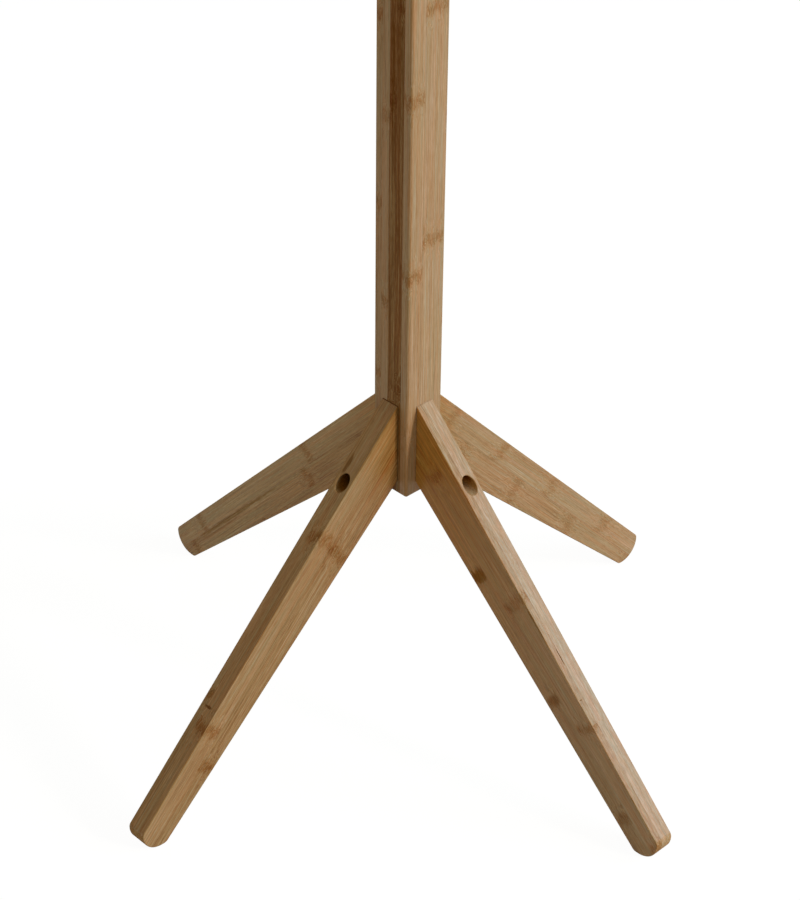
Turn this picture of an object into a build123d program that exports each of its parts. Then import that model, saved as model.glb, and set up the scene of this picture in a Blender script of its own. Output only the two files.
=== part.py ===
from build123d import *

import os
from math import atan2, cos, radians, sin, tan

# Standing coat rack of laminated bamboo, made to be packed flat and bolted together.
# A square post in two lengths stands on four tapered legs and carries two tiers of four tapered arms.
# Legs and arms are cut from one thickness of board, and each butts against a face of the post.
# There a dowel locates it, and a bolt sunk into its sloping edge draws it against a threaded insert.
# The origin is on the floor under the middle of the post, +Z is up, and the legs lie along X and Y.
# Lengths are in millimetres, and angles in degrees below, or above, the horizontal.

# Post
RACK_HEIGHT = 1750.0
POST_SIDE = 45.0
POST_EDGE_RADIUS = 2.5
POST_END_BEVEL = 1.0
POST_TAIL = 13.5  # post left showing below the legs
LOWER_POST_LENGTH = 747.0

# Board that the legs and arms are cut from
BOARD_THICKNESS = 21.0
BOARD_EDGE_RADIUS = 0.8
CORNER_FLAT = 0.3  # least flat left between two rounded corners of an outline

# Legs, whose bolted edge is the top one
LEG_REACH = 324.9  # from the post to the upright end cut
LEG_JOINT_HEIGHT = 84.4
LEG_TOP_ANGLE = 45.5
LEG_END_HEIGHT = 25.2  # of the end cut, before its corners are rounded
LEG_FOOT_WIDTH = 26.6  # of the cut along the floor, before its corners are rounded
LEG_TOE_RADIUS = 7.0
LEG_FOOT_RADIUS = 22.0
LEG_HEEL_RADIUS = 6.0
LEG_BOLT_OFFSET = 21.0  # from the leg's lower corner at the post
LEG_BOLT_GRIP = 31.8  # wood between the post and the washer
LEG_DOWEL_OFFSET = 48.0
LEG_DOWEL_LENGTH = 30.0

# Arms, which are like legs turned upside down: their bolted edge is the lower one
ARM_REACH = 108.6  # from the post to the upright end cut
ARM_JOINT_HEIGHT = 58.0
ARM_UNDERSIDE_ANGLE = 45.5
ARM_END_HEIGHT = 21.5
ARM_TIP_WIDTH = 17.2
ARM_TOE_RADIUS = 6.0
ARM_TIP_RADIUS = 13.0
ARM_HEEL_RADIUS = 5.0
ARM_BOLT_OFFSET = 16.0  # from the arm's upper corner at the post
ARM_BOLT_GRIP = 18.4
ARM_DOWEL_OFFSET = 37.0
ARM_DOWEL_LENGTH = 24.0
UPPER_ARM_DROP = 92.0  # from the top of the post to the upper arms' upper corners
ARM_TIER_SPACING = 220.0

# Bolts, washers and the bores that they sink into
BOLT_DIAMETER = 6.0
BOLT_ENGAGEMENT = 10.0  # bolt past the face of the post
BOLT_TIP_BEVEL = 0.8
BOLT_HEAD_DIAMETER = 10.0
BOLT_HEAD_HEIGHT = 6.0
BOLT_HEAD_BEVEL = 0.6
BOLT_SOCKET_SIZE = 5.0
BOLT_SOCKET_DEPTH = 3.0
BOLT_HOLE_DIAMETER = 6.6
BORE_DIAMETER = 14.0
BORE_MOUTH_RADIUS = 0.8
WASHER_DIAMETER = 12.0
WASHER_THICKNESS = 1.6
WASHER_HOLE_DIAMETER = 6.4
SPRING_WASHER_DIAMETER = 11.0
SPRING_WASHER_THICKNESS = 1.6
SPRING_WASHER_SLIT = 1.2

# Threaded inserts and dowels set into the post
INSERT_DIAMETER = 10.0
INSERT_LENGTH = 13.0
INSERT_BEVEL = 0.8
INSERT_RECESS = 0.5
DOWEL_DIAMETER = 8.0
DOWEL_POST_DEPTH = 13.0
DOWEL_END_BEVEL = 0.8
HOLE_END_GAP = 1.0  # left beyond the end of what fills a blind hole
FIT_GAP = 0.05  # on the radius, round a dowel, an insert or a bolt in its thread

# Joint between the two lengths of post
STUD_DIAMETER = 8.0
STUD_LENGTH = 60.0
STUD_END_BEVEL = 1.0
STUD_INSERT_DIAMETER = 12.0
STUD_INSERT_LENGTH = 25.0

# Faces of the post and the directions that they look in, in degrees from +X
SIDES = {"right": 0, "back": 90, "left": 180, "front": 270}


def direction(degrees):
    """The direction at an angle from +X, anticlockwise seen from above."""
    return Vector(cos(radians(degrees)), sin(radians(degrees)), 0)


def facing_plane(heading, height, distance):
    """A plane that looks outward, at a distance from the face of the post on that side."""
    outward = direction(heading)
    middle = outward * (POST_SIDE / 2 + distance) + Vector(0, 0, height)
    return Plane(origin=middle, x_dir=direction(heading + 90), z_dir=outward)


def facing_planes(heights, distance):
    """Such planes for every side of the post, at each of the heights."""
    return [facing_plane(heading, height, distance) for height in heights for heading in SIDES.values()]


def board_plane(heading, height, bolted_edge):
    """The middle plane of a board: X runs outward from the post and Y towards the bolted edge."""
    outward = direction(heading)
    corner = outward * (POST_SIDE / 2) + Vector(0, 0, height)
    return Plane(origin=corner, x_dir=outward, z_dir=outward.cross(bolted_edge))


def tapered_outline(
    joint_height, bolted_angle, reach, end_height, foot_width, toe_radius, foot_radius, heel_radius
):
    """A board's outline, with its plain corner at the origin and its bolted corner above that.

    Its far end has an upright cut and a level one, and the corner between them is rounded as far as
    they leave room for it.
    """
    toe = Vector(reach, joint_height - reach * tan(radians(bolted_angle)))
    foot = toe - Vector(0, end_height)
    heel = foot - Vector(foot_width, 0)
    toe_run = toe_radius * tan(radians(90 - bolted_angle) / 2)
    heel_run = heel_radius * tan(atan2(-heel.Y, heel.X) / 2)
    foot_room = min(end_height - toe_run, foot_width - heel_run) - CORNER_FLAT
    with BuildSketch() as outline:
        with BuildLine():
            Polyline((0, 0), (0, joint_height), toe, foot, heel, close=True)
        make_face()
        for corner, radius in ((toe, toe_radius), (heel, heel_radius), (foot, min(foot_radius, foot_room))):
            fillet(outline.vertices().sort_by_distance(corner)[0], radius)
    return outline.sketch


def tapered_board(outline, plane):
    """A board of that outline with its long edges eased."""
    with BuildPart() as board:
        with BuildSketch(plane):
            add(outline)
        extrude(amount=BOARD_THICKNESS / 2, both=True)
        broad_faces = board.faces().filter_by(Axis(plane.origin, plane.z_dir))
        fillet(broad_faces.edges(), BOARD_EDGE_RADIUS)
    return board.part


def drill_board(heading, reach, bolt_height, bolt_grip, dowel_height, dowel_depth):
    """Sinks the bolt's bore and the dowel's hole into the board that is being built."""
    with Locations(facing_plane(heading, bolt_height, reach)):
        CounterBoreHole(BOLT_HOLE_DIAMETER / 2, BORE_DIAMETER / 2, reach - bolt_grip, reach)
    with Locations(facing_plane(heading, dowel_height, 0)):
        Hole(DOWEL_DIAMETER / 2 + FIT_GAP, dowel_depth + HOLE_END_GAP)


def bore_mouth(board):
    """The oval rim that a bore leaves on the sloping edge of a board."""
    return board.edges().filter_by(GeomType.ELLIPSE).sort_by(SortBy.LENGTH)[-1]


def post_length(bottom, length):
    """One length of the post, with its long edges rounded and its ends bevelled."""
    with BuildPart() as post:
        with BuildSketch(Plane.XY.offset(bottom)):
            RectangleRounded(POST_SIDE, POST_SIDE, POST_EDGE_RADIUS)
        extrude(amount=length)
        chamfer(post.faces().filter_by(Axis.Z).edges(), POST_END_BEVEL)
    return post.part


def drill_post(bolt_heights, dowel_heights, joint_height):
    """Sinks the holes for inserts, dowels and the stud into the length of post that is being built."""
    with Locations(*facing_planes(bolt_heights, 0)):
        Hole(INSERT_DIAMETER / 2 + FIT_GAP, INSERT_RECESS + INSERT_LENGTH + HOLE_END_GAP)
    with Locations(*facing_planes(dowel_heights, 0)):
        Hole(DOWEL_DIAMETER / 2 + FIT_GAP, DOWEL_POST_DEPTH + HOLE_END_GAP)
    with Locations(Plane.XY.offset(joint_height)):
        Hole(STUD_INSERT_DIAMETER / 2 + FIT_GAP, STUD_LENGTH / 2 + HOLE_END_GAP)


def bolt(seat_distance):
    """A socket head bolt along Z, its head's seat at the origin and that far from the post."""
    with BuildPart() as piece:
        with BuildSketch():
            Circle(BOLT_HEAD_DIAMETER / 2)
        extrude(amount=BOLT_HEAD_HEIGHT)
        chamfer(piece.edges().group_by(Axis.Z)[-1], BOLT_HEAD_BEVEL)
        with BuildSketch():
            Circle(BOLT_DIAMETER / 2)
        extrude(amount=-seat_distance - BOLT_ENGAGEMENT)
        chamfer(piece.edges().group_by(Axis.Z)[0], BOLT_TIP_BEVEL)
        with BuildSketch(Plane.XY.offset(BOLT_HEAD_HEIGHT)):
            RegularPolygon(BOLT_SOCKET_SIZE / 2, 6, major_radius=False)
        extrude(amount=-BOLT_SOCKET_DEPTH, mode=Mode.SUBTRACT)
    return piece.part


def washer():
    """A plain washer that lies on its seat at the origin."""
    with BuildPart() as piece:
        with BuildSketch():
            Circle(WASHER_DIAMETER / 2)
            Circle(WASHER_HOLE_DIAMETER / 2, mode=Mode.SUBTRACT)
        extrude(amount=WASHER_THICKNESS)
    return piece.part


def spring_washer():
    """A spring washer, a ring of square wire with a slit in it, drawn flat by its bolt."""
    with BuildPart() as piece:
        with BuildSketch():
            Circle(SPRING_WASHER_DIAMETER / 2)
            Circle(WASHER_HOLE_DIAMETER / 2, mode=Mode.SUBTRACT)
            with Locations((0, SPRING_WASHER_DIAMETER / 2)):
                Rectangle(SPRING_WASHER_SLIT, SPRING_WASHER_DIAMETER, mode=Mode.SUBTRACT)
        extrude(amount=SPRING_WASHER_THICKNESS)
    return piece.part


def insert(diameter, thread_diameter, length):
    """A threaded insert, bevelled at both ends, that runs down from the origin."""
    with BuildPart() as piece:
        with BuildSketch():
            Circle(diameter / 2)
        extrude(amount=-length)
        chamfer(piece.edges().filter_by(GeomType.CIRCLE), INSERT_BEVEL)
        Hole(thread_diameter / 2 + FIT_GAP)
    return piece.part


def rod(diameter, length, bevel):
    """A dowel or a stud, bevelled at both ends, that runs down from the origin."""
    with BuildPart() as piece:
        with BuildSketch():
            Circle(diameter / 2)
        extrude(amount=-length)
        chamfer(piece.edges().filter_by(GeomType.CIRCLE), bevel)
    return piece.part


def write(part, name):
    """Labels a finished piece and writes it."""
    part.label = name
    export_step(part, f"parts/{name}.step")


# Outlines, and the heights that follow from them
leg_outline = tapered_outline(
    LEG_JOINT_HEIGHT,
    LEG_TOP_ANGLE,
    LEG_REACH,
    LEG_END_HEIGHT,
    LEG_FOOT_WIDTH,
    LEG_TOE_RADIUS,
    LEG_FOOT_RADIUS,
    LEG_HEEL_RADIUS,
)
leg_corner = -leg_outline.bounding_box().min.Y
leg_bolt_height = leg_corner + LEG_BOLT_OFFSET
leg_dowel_height = leg_corner + LEG_DOWEL_OFFSET
leg_dowel_depth = LEG_DOWEL_LENGTH - DOWEL_POST_DEPTH

arm_outline = tapered_outline(
    ARM_JOINT_HEIGHT,
    ARM_UNDERSIDE_ANGLE,
    ARM_REACH,
    ARM_END_HEIGHT,
    ARM_TIP_WIDTH,
    ARM_TOE_RADIUS,
    ARM_TIP_RADIUS,
    ARM_HEEL_RADIUS,
)
upper_arm_corner = RACK_HEIGHT - UPPER_ARM_DROP
arm_corners = {"upper": upper_arm_corner, "lower": upper_arm_corner - ARM_TIER_SPACING}
arm_bolt_heights = [corner - ARM_BOLT_OFFSET for corner in arm_corners.values()]
arm_dowel_heights = [corner - ARM_DOWEL_OFFSET for corner in arm_corners.values()]
arm_dowel_depth = ARM_DOWEL_LENGTH - DOWEL_POST_DEPTH

post_bottom = leg_corner - POST_TAIL
post_joint = post_bottom + LOWER_POST_LENGTH

os.makedirs("parts", exist_ok=True)

# Post, drilled for the legs below, for the arms above and for the stud between its two lengths
with BuildPart() as lower_post:
    add(post_length(post_bottom, LOWER_POST_LENGTH))
    drill_post([leg_bolt_height], [leg_dowel_height], post_joint)
write(lower_post.part, "lower_post")

with BuildPart() as upper_post:
    add(post_length(post_joint, RACK_HEIGHT - post_joint))
    drill_post(arm_bolt_heights, arm_dowel_heights, post_joint)
write(upper_post.part, "upper_post")

# Legs
for side, heading in SIDES.items():
    with BuildPart() as leg:
        add(tapered_board(leg_outline, board_plane(heading, leg_corner, Vector(0, 0, 1))))
        drill_board(heading, LEG_REACH, leg_bolt_height, LEG_BOLT_GRIP, leg_dowel_height, leg_dowel_depth)
        fillet(bore_mouth(leg), BORE_MOUTH_RADIUS)
    write(leg.part, f"leg_{side}")

# Arms
for tier, corner in arm_corners.items():
    bolt_height = corner - ARM_BOLT_OFFSET
    dowel_height = corner - ARM_DOWEL_OFFSET
    for side, heading in SIDES.items():
        with BuildPart() as arm:
            add(tapered_board(arm_outline, board_plane(heading, corner, Vector(0, 0, -1))))
            drill_board(heading, ARM_REACH, bolt_height, ARM_BOLT_GRIP, dowel_height, arm_dowel_depth)
            fillet(bore_mouth(arm), BORE_MOUTH_RADIUS)
        write(arm.part, f"{tier}_arm_{side}")

# Distances of the stacked hardware from the faces of the post
leg_spring_seat = LEG_BOLT_GRIP + WASHER_THICKNESS
leg_head_seat = leg_spring_seat + SPRING_WASHER_THICKNESS
arm_head_seat = ARM_BOLT_GRIP + WASHER_THICKNESS

# Hardware, as one piece of each kind and the planes that its copies stand on
bolt_insert = insert(INSERT_DIAMETER, BOLT_DIAMETER, INSERT_LENGTH)
stud_insert = insert(STUD_INSERT_DIAMETER, STUD_DIAMETER, STUD_INSERT_LENGTH)
stud_insert_tops = [
    Plane.XY.offset(post_joint - INSERT_RECESS),
    Plane.XY.offset(post_joint + INSERT_RECESS + STUD_INSERT_LENGTH),
]
hardware = {
    "leg_bolts": (bolt(leg_head_seat), facing_planes([leg_bolt_height], leg_head_seat)),
    "leg_spring_washers": (spring_washer(), facing_planes([leg_bolt_height], leg_spring_seat)),
    "leg_washers": (washer(), facing_planes([leg_bolt_height], LEG_BOLT_GRIP)),
    "leg_inserts": (bolt_insert, facing_planes([leg_bolt_height], -INSERT_RECESS)),
    "leg_dowels": (
        rod(DOWEL_DIAMETER, LEG_DOWEL_LENGTH, DOWEL_END_BEVEL),
        facing_planes([leg_dowel_height], leg_dowel_depth),
    ),
    "arm_bolts": (bolt(arm_head_seat), facing_planes(arm_bolt_heights, arm_head_seat)),
    "arm_washers": (washer(), facing_planes(arm_bolt_heights, ARM_BOLT_GRIP)),
    "arm_inserts": (bolt_insert, facing_planes(arm_bolt_heights, -INSERT_RECESS)),
    "arm_dowels": (
        rod(DOWEL_DIAMETER, ARM_DOWEL_LENGTH, DOWEL_END_BEVEL),
        facing_planes(arm_dowel_heights, arm_dowel_depth),
    ),
    "post_stud": (
        rod(STUD_DIAMETER, STUD_LENGTH, STUD_END_BEVEL),
        [Plane.XY.offset(post_joint + STUD_LENGTH / 2)],
    ),
    "post_stud_inserts": (stud_insert, stud_insert_tops),
}
for name, (piece, planes) in hardware.items():
    with BuildPart() as group:
        with Locations(*planes):
            add(piece)
    write(group.part, name)

print("leg corner", leg_corner, "post bottom", post_bottom, "post joint", post_joint)
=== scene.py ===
"""Standing coat rack of laminated bamboo: its finish, its fastenings, the light and the camera."""

import math
import random

import bpy
from mathutils import Matrix, Vector


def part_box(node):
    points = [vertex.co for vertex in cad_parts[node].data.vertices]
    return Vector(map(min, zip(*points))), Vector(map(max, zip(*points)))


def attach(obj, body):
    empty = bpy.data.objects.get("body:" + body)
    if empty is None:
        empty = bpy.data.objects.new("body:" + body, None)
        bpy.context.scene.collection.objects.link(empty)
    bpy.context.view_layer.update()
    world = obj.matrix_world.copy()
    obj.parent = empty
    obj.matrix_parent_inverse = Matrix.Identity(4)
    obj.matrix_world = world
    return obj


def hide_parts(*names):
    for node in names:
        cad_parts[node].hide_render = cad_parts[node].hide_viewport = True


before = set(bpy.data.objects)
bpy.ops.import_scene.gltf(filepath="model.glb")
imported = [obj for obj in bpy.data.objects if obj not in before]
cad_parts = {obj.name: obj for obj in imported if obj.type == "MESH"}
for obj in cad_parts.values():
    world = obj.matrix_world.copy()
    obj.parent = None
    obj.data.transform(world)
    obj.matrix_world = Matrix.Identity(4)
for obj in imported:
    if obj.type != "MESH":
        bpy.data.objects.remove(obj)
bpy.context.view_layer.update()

MM = 0.001
UP = Vector((0, 0, 1))
SIDES = {
    "right": Vector((1, 0, 0)),
    "back": Vector((0, 1, 0)),
    "left": Vector((-1, 0, 0)),
    "front": Vector((0, -1, 0)),
}
TIERS = ("upper", "lower")
WHITE = (1, 1, 1, 1)

# Camera: where it stands and what it looks at, in metres, its roll in degrees, its lens and sensor in mm
CAMERA_PLACE = Vector((1.31584, -1.30009, 1.52232))
CAMERA_AIM = Vector((0.0, -0.0092, 0.2957))
CAMERA_ROLL = 0.68
CAMERA_LENS = 93.16
CAMERA_SENSOR = 36.0

# Light: a lamp and a window on the right, a fill lamp on the left and an even sky, with spreads in degrees
# The fill lights the sides turned away from the lamp and leaves no glints.
LAMP_FROM = Vector((0.855, 0.30, 0.43))
LAMP_STRENGTH = 1.50
LAMP_COLOUR = (1.02, 0.975, 0.95)
LAMP_SPREAD = 9.0
FILL_FROM = Vector((-1.0, 0.24, 0.0))
FILL_STRENGTH = 1.5
FILL_COLOUR = (1.0, 0.985, 0.96)
FILL_SPREAD = 14.0
WINDOW_PLACE = Vector((2.67, 2.26, 1.99))
WINDOW_SIZE = 1.3
WINDOW_STRENGTH = 50.0
WINDOW_COLOUR = (0.66, 1.0, 1.36)
SKY_COLOUR = (1.03, 1.0, 0.83, 1)
SKY_LEVEL = 0.37

# Floor: its size in metres, its own colour, how white it reads and how much of its shading still shows
FLOOR_SIZE = 14.0
FLOOR_COLOUR = (0.71, 0.70, 0.63, 1)
FLOOR_GLOW = 1.085
FLOOR_SHADE = 0.12

# Boards: the slope of a leg's top edge in degrees, the bore of a bolt and the glue line in mm
BOARD_SLOPE = 45.5
BORE_RADIUS = 7.0
GLUE_LINE = 0.35

# How each piece of bamboo is glued up, in mm
# Strips lie side by side across the grain, as (edge, tone, first node, node spacing). Layers lie behind one
# another, as (edge, tone, node shift, spacing factor). Span and depth are the outer edges of both. Tone goes
# from 0, scorched, to 1, pale. Tilt turns the grain, in degrees, growth spaces the nodes out along it, and
# marking is how dark they are. Flaws are (place, reach, strength), and seed picks the fibres.
PLAIN_BOARD = {
    "span": (-12.0, 64.0),
    "depth": (-10.5, 10.5),
    "tilt": 0.0,
    "tint": (1.0, 1.0, 1.0),
    "growth": 0.0,
    "contrast": 1.0,
    "marking": 0.64,
    "flaws": [],
    "seed": 0.0,
}
LOWER_POST = PLAIN_BOARD | {
    "span": (-22.5, 22.5),
    "depth": (-22.5, 22.5),
    "strips": [(-22.5, 0.62, 268, 200), (-20, 0.58, 354, 222), (6, 0.58, 323, 172)],
    "layers": [
        (-22.5, 0.46, 60, 1.03),
        (-13.5, 0.54, 137, 1.08),
        (-4.5, 0.04, 337, 1.80),
        (4.5, 0.035, 52, 2.17),
        (13.5, 0.57, 172, 1.0),
    ],
    "tint": (0.985, 0.972, 1.0),
    "flaws": [((695, 22.5, 0), (75, 3, 2.2), 0.5), ((730, 22.5, 4.5), (190, 3, 7), 0.16)],
}
UPPER_POST = LOWER_POST | {"flaws": [], "seed": 40.0}
UPPER_POST_START = 250.0

# Legs and arms also say how dark the painted contact shade in the gap at the post is, and how much of the
# lit floor of the bolt's bore is spared the bore's painted shade
# Painted bounce is a warm painted bounce of light on the sides near the post: how far it reaches from the
# post, and how strong it is on the first and on the last layer.
LEGS = {
    "front": PLAIN_BOARD | {
        "strips": [(0, 0.58, 144, 206), (20, 0.48, 148, 235), (44, 0.50, 150, 190)],
        "layers": [(-10.5, 0.52, 176, 1.0), (-3.5, 0.54, 0, 1.0), (3.5, 0.50, 0, 1.0)],
        "tint": (0.87, 0.82, 0.72),
        "contrast": 1.25,
        "marking": 0.78,
        "flaws": [((331, 0, -0.5), (1.9, 5, 5.5), 0.75), ((71, 0, -5.5), (14, 4, 2.6), 0.52)],
        "gap_shade": 0.9,
        "painted_bounce": (55, 0.55, 0.55),
        "lit_bore_floor": 0.0,
    },
    "right": PLAIN_BOARD | {
        "strips": [(-9, 0.62, 214, 240), (20.3, 0.62, 64, 152), (43.3, 0.58, 171, 151)],
        # The two inner layers are paler, partly their own tone and partly a painted sheen on the leg's lit
        # top
        "layers": [(-10.5, 0.50, 0, 1.0), (-3.5, 0.68, 560, 2.5), (3.5, 0.66, 231, 2.2)],
        "tilt": -3.5,
        "tint": (0.99, 0.97, 0.94),
        "growth": -2.5e-4,
        "contrast": 1.20,
        "marking": 0.60,
        "flaws": [
            ((268, 16.5, -4), (11, 3, 0.45), 0.8),
            ((232, 14, -10.5), (24, 3, 1.2), 0.4),
            ((312, 19.4, -7), (0.8, 3, 1.5), 0.6),
            ((165, 54, -10.5), (9.0, 15, 3), 0.38),
            ((302, 52, -10.5), (7.0, 11, 3), 0.25),
            ((430, 51, -10.5), (7.5, 9, 3), 0.20),
        ],
        "gap_shade": 0.3,
        "painted_bounce": (230, 1.0, 0.35),
        "lit_bore_floor": 1.0,
    },
    "left": PLAIN_BOARD | {
        "strips": [(0, 0.66, 167, 244), (21, 0.52, 186, 260), (42, 0.50, 90, 210)],
        "layers": [(-10.5, 0.48, 70, 1.0), (-3.5, 0.54, 130, 1.0), (3.5, 0.50, 0, 1.0)],
        "tint": (0.98, 0.97, 0.81),
        "contrast": 1.30,
        "marking": 0.58,
        "flaws": [((352, 22.8, 10.5), (110, 2.8, 3), 0.26), ((395, 27, 10.5), (65, 1.6, 3), 0.17)],
        "gap_shade": 0.6,
        "painted_bounce": (60, 0.55, 0.55),
        "lit_bore_floor": 1.0,
    },
    "back": PLAIN_BOARD | {
        "strips": [(0, 0.60, 50, 92), (22, 0.54, 92, 96), (44, 0.50, 70, 120)],
        "layers": [(-10.5, 0.50, 0, 1.0), (-3.5, 0.46, 35, 1.0), (3.5, 0.52, 60, 1.0)],
        "tint": (0.97, 0.96, 0.96),
        "growth": 4.3e-4,
        "marking": 0.42,
        "gap_shade": 0.6,
        "painted_bounce": (50, 0.55, 0.55),
        "lit_bore_floor": 1.0,
    },
}
ARM = PLAIN_BOARD | {"gap_shade": 0.6, "painted_bounce": (40, 0.50, 0.50), "lit_bore_floor": 0.0}

# Arms draw their strips and layers at random, each value from its own range
ARM_DRAW_SEED = 7
ARM_STRIP_WIDTH = (16, 22)
ARM_STRIP_RANGES = ((0.48, 0.64), (10, 120), (130, 230))
ARM_LAYER_EDGES = (-10.5, -3.5, 3.5)
ARM_LAYER_RANGES = ((0.44, 0.56), (0, 160), (0.9, 1.1))
ARM_SEED_RANGE = (0, 90)

# Bamboo colours, from scorched strips to pale ones
BAMBOO_TONES = [
    (0.00, (0.185, 0.070, 0.010, 1)),
    (0.30, (0.290, 0.154, 0.055, 1)),
    (0.55, (0.372, 0.225, 0.102, 1)),
    (0.80, (0.430, 0.282, 0.152, 1)),
    (1.00, (0.520, 0.370, 0.240, 1)),
]
FLAW_BROWN = (0.115, 0.036, 0.006, 1)

# Fibre patterns: length and width in mm, and octaves of detail
FIBRES = {
    "streak": (150.0, 2.6, 2.0),
    "fibre": (70.0, 0.70, 1.0),
    "hatch": (9.0, 0.50, 1.0),
    "bundle": (15.0, 0.45, 1.0),
    "drift": (190.0, 20.0, 1.0),
    "hue": (90.0, 0.95, 1.0),
    "broad_hue": (170.0, 5.0, 1.0),
    "spot": (3.6, 0.8, 1.0),
}

# What the patterns do to the colour: shares of light and dark, pairs of hues, and stains and painted light
# as (share, tint)
SHADES = {"streak": 0.55, "fibre": 0.90, "hatch": 0.60, "drift": 0.26}
HUES = {
    "hue": ((1.07, 0.94, 0.83, 1), (0.96, 1.00, 1.05, 1)),
    "broad_hue": ((1.03, 0.98, 0.96, 1), (0.97, 1.02, 1.02, 1)),
}
STAINS_AND_PAINTED_LIGHT = {
    "bundle": (0.42, (0.74, 0.60, 0.46, 1)),
    "tail": (0.40, (0.80, 0.64, 0.50, 1)),
    "halo": (0.55, (0.93, 0.83, 0.66, 1)),
    "stroke": (1.0, (0.64, 0.40, 0.13, 1)),
    "glue": (0.40, (0.55, 0.42, 0.32, 1)),
    "end_dots": (1.0, (0.62, 0.48, 0.36, 1)),
    # The last three are painted light: a warm painted bounce near the post, painted contact shade at the
    # post, and painted shade inside a bolt's bore
    "painted_bounce": (1.0, (1.00, 0.77, 0.32, 1)),
    "gap_shade": (1.0, (0.30, 0.20, 0.11, 1)),
    "bore": (1.0, (0.50, 0.32, 0.05, 1)),
}

# What the patterns do to the lacquer: how far they dull and roughen it, and how deep they lie in mm
DULLED = {"gap_shade": 1.0, "bore": 1.0, "end": 0.7, "stroke": 0.9, "flaw": 1.0, "rubbed": 0.9}
ROUGHENED = {"fibre": 0.14, "stroke": 0.10, "end": 0.12, "rubbed": 0.30, "bore": 0.30}
RELIEF = {"fibre": 0.035, "bundle": -0.020, "stroke": -0.040, "glue": -0.050, "slit": -0.120}
LACQUER_IOR = 1.5
LEAST_ROUGH = 0.26

# Straight rules, as (factor, start): contrast and gloss from the tone, and stain from the dots of end grain
CONTRAST_RULE = (-1.25, 1.75)
GLOSS_RULE = (0.20, 0.02)
END_DOT_RULE = (0.55, 0.25)

# How far apart the strips, layers and nodes of one piece take their fibres
STRIP_SHIFT = 797.0
LAYER_SHIFT = 331.0
NODE_SHIFT = 5.3
SHIFT_WAY = (1.0, 1.7, 0.6)

# Patterns across the grain at a node, as (width in mm, octaves), which swing about 0
# Strokes fade in from one swing to another, and have this share of their stain.
BEND_PATTERN = (7.0, 1.0)
TEAR_PATTERN = (0.9, 1.0)
STROKE_PATTERN = (1.3, 2.0)
STROKE_EDGE = (-0.14, 0.05)
STROKE_SHARE = 0.85

# How far a node's line is bent and torn, and the eddies beside it, in mm
BEND = 16.0
TEAR = 22.0
EDDY_PATTERN = ((13.0, 8.0, 8.0), 1.0)
EDDY_PUSH = (0.0, 9.0, 7.0)

# Fades at a node, as (where it starts, where it is full), in mm from the node's middle
HALO_FADE = (13.0, 3.0)
EDDY_FADE = (30.0, 2.0)
STROKE_FADE = (5.0, 1.6)
SPOT_FADE = (8.5, 4.0)
TAIL_FADE_OUT = (75.0, 2.0)
TAIL_FADE_IN = (-4.0, 2.0)

# Fades of patterns, which swing about a half, and of the nodes' numbers, which start at 0
BUNDLE_FADE = (0.56, 0.70)
HUE_FADES = {"hue": (0.34, 0.66), "broad_hue": (0.36, 0.64)}
SPOT_EDGE = (0.50, 0.58)
TAIL_EDGE = (0.52, 0.68)
FIRST_NODE_FADE = (-0.6, -0.4)

# End grain: fibre bundles per mm, and where a bundle's dot ends and is full
END_DOTS = 1.15
END_DOT_FADE = (0.46, 0.24)

# Flaws: spots per metre of the pattern that frays them and its octaves, its strength, and fades
FLAW_PATTERN = ((90.0, 900.0, 900.0), 2.0)
FLAW_FRAY = 1.6
FLAW_EDGE = (1.0, 0.55)
FLAW_DULL_FADE = (0.0, 0.4)
SLIT_FADE = (0.45, 0.80)

# Fades of a bolted end's painted shade and painted bounce, in mm from the post, from the bolt's axis and
# from the top edge
GAP_SHADE_FADE = (1.1, 0.4)
BOUNCE_FULL = 5.0
BORE_RIM_FADE = (BORE_RADIUS + 0.30, BORE_RADIUS + 0.05)
BORE_SUNK_FADE = (0.0, 6.0)

# Fades by where a face looks: the cosine of its angle to a direction of the board, or to up in a bore
# The painted bounce keeps to the side faces, with its own strength on the first and on the last layer, and a
# bore's upward floor is spared the bore's painted shade
BOUNCE_SIDE_FADE = (0.5, 0.9)
LAST_SIDE_FADE = (-0.5, 0.5)
BORE_FLOOR_FADE = (0.0, 0.5)
ROUNDED_FADE_IN = (0.03, 0.20)
ROUNDED_FADE_OUT = (0.995, 0.95)
TIP_FADE = (0.45, 0.65)
STRIP_SIDE_FADE = (0.90, 0.97)
END_FADE = (0.80, 0.95)

# A ramp's colour holds lengths in metres, and spacing factors as a share of this
FACTOR_ROOM = 4.0

# Fastenings, in mm: seats and reaches go out from the post, depths into it, rises up from an arm's foot
LEG_BOLT_SEAT = 35.0
LEG_SPRING_SEAT = 33.4
LEG_WASHER_SEAT = 31.8
LEG_DOWEL_REACH = 17.0
ARM_BOLT_RISE = 42.0
ARM_BOLT_SEAT = 20.0
ARM_WASHER_SEAT = 18.4
ARM_DOWEL_RISE = 21.0
ARM_DOWEL_REACH = 11.0
INSERT_REACH = -0.5
BOLT_DEPTH = 10.0
DOWEL_DEPTH = 13.0
BOLT = {
    "Head Radius": 5.0,
    "Head Height": 6.0,
    "Head Bevel": 0.6,
    "Knurl Depth": 0.18,
    "Socket Width": 5.0,
    "Socket Depth": 3.0,
    "Shank Radius": 3.0,
    "Thread Length": 22.0,
    "Thread Pitch": 1.0,
    "Thread Depth": 0.55,
    "Tip Bevel": 0.8,
}
WASHER = {"Outer Radius": 6.0, "Hole Radius": 3.2, "Thickness": 1.6, "Bevel": 0.2}
SPRING_WASHER = {
    "Outer Radius": 5.5,
    "Hole Radius": 3.2,
    "Thickness": 1.3,
    "Rise": 0.26,
    "Slit": 1.2,
    "Bevel": 0.15,
}
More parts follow.
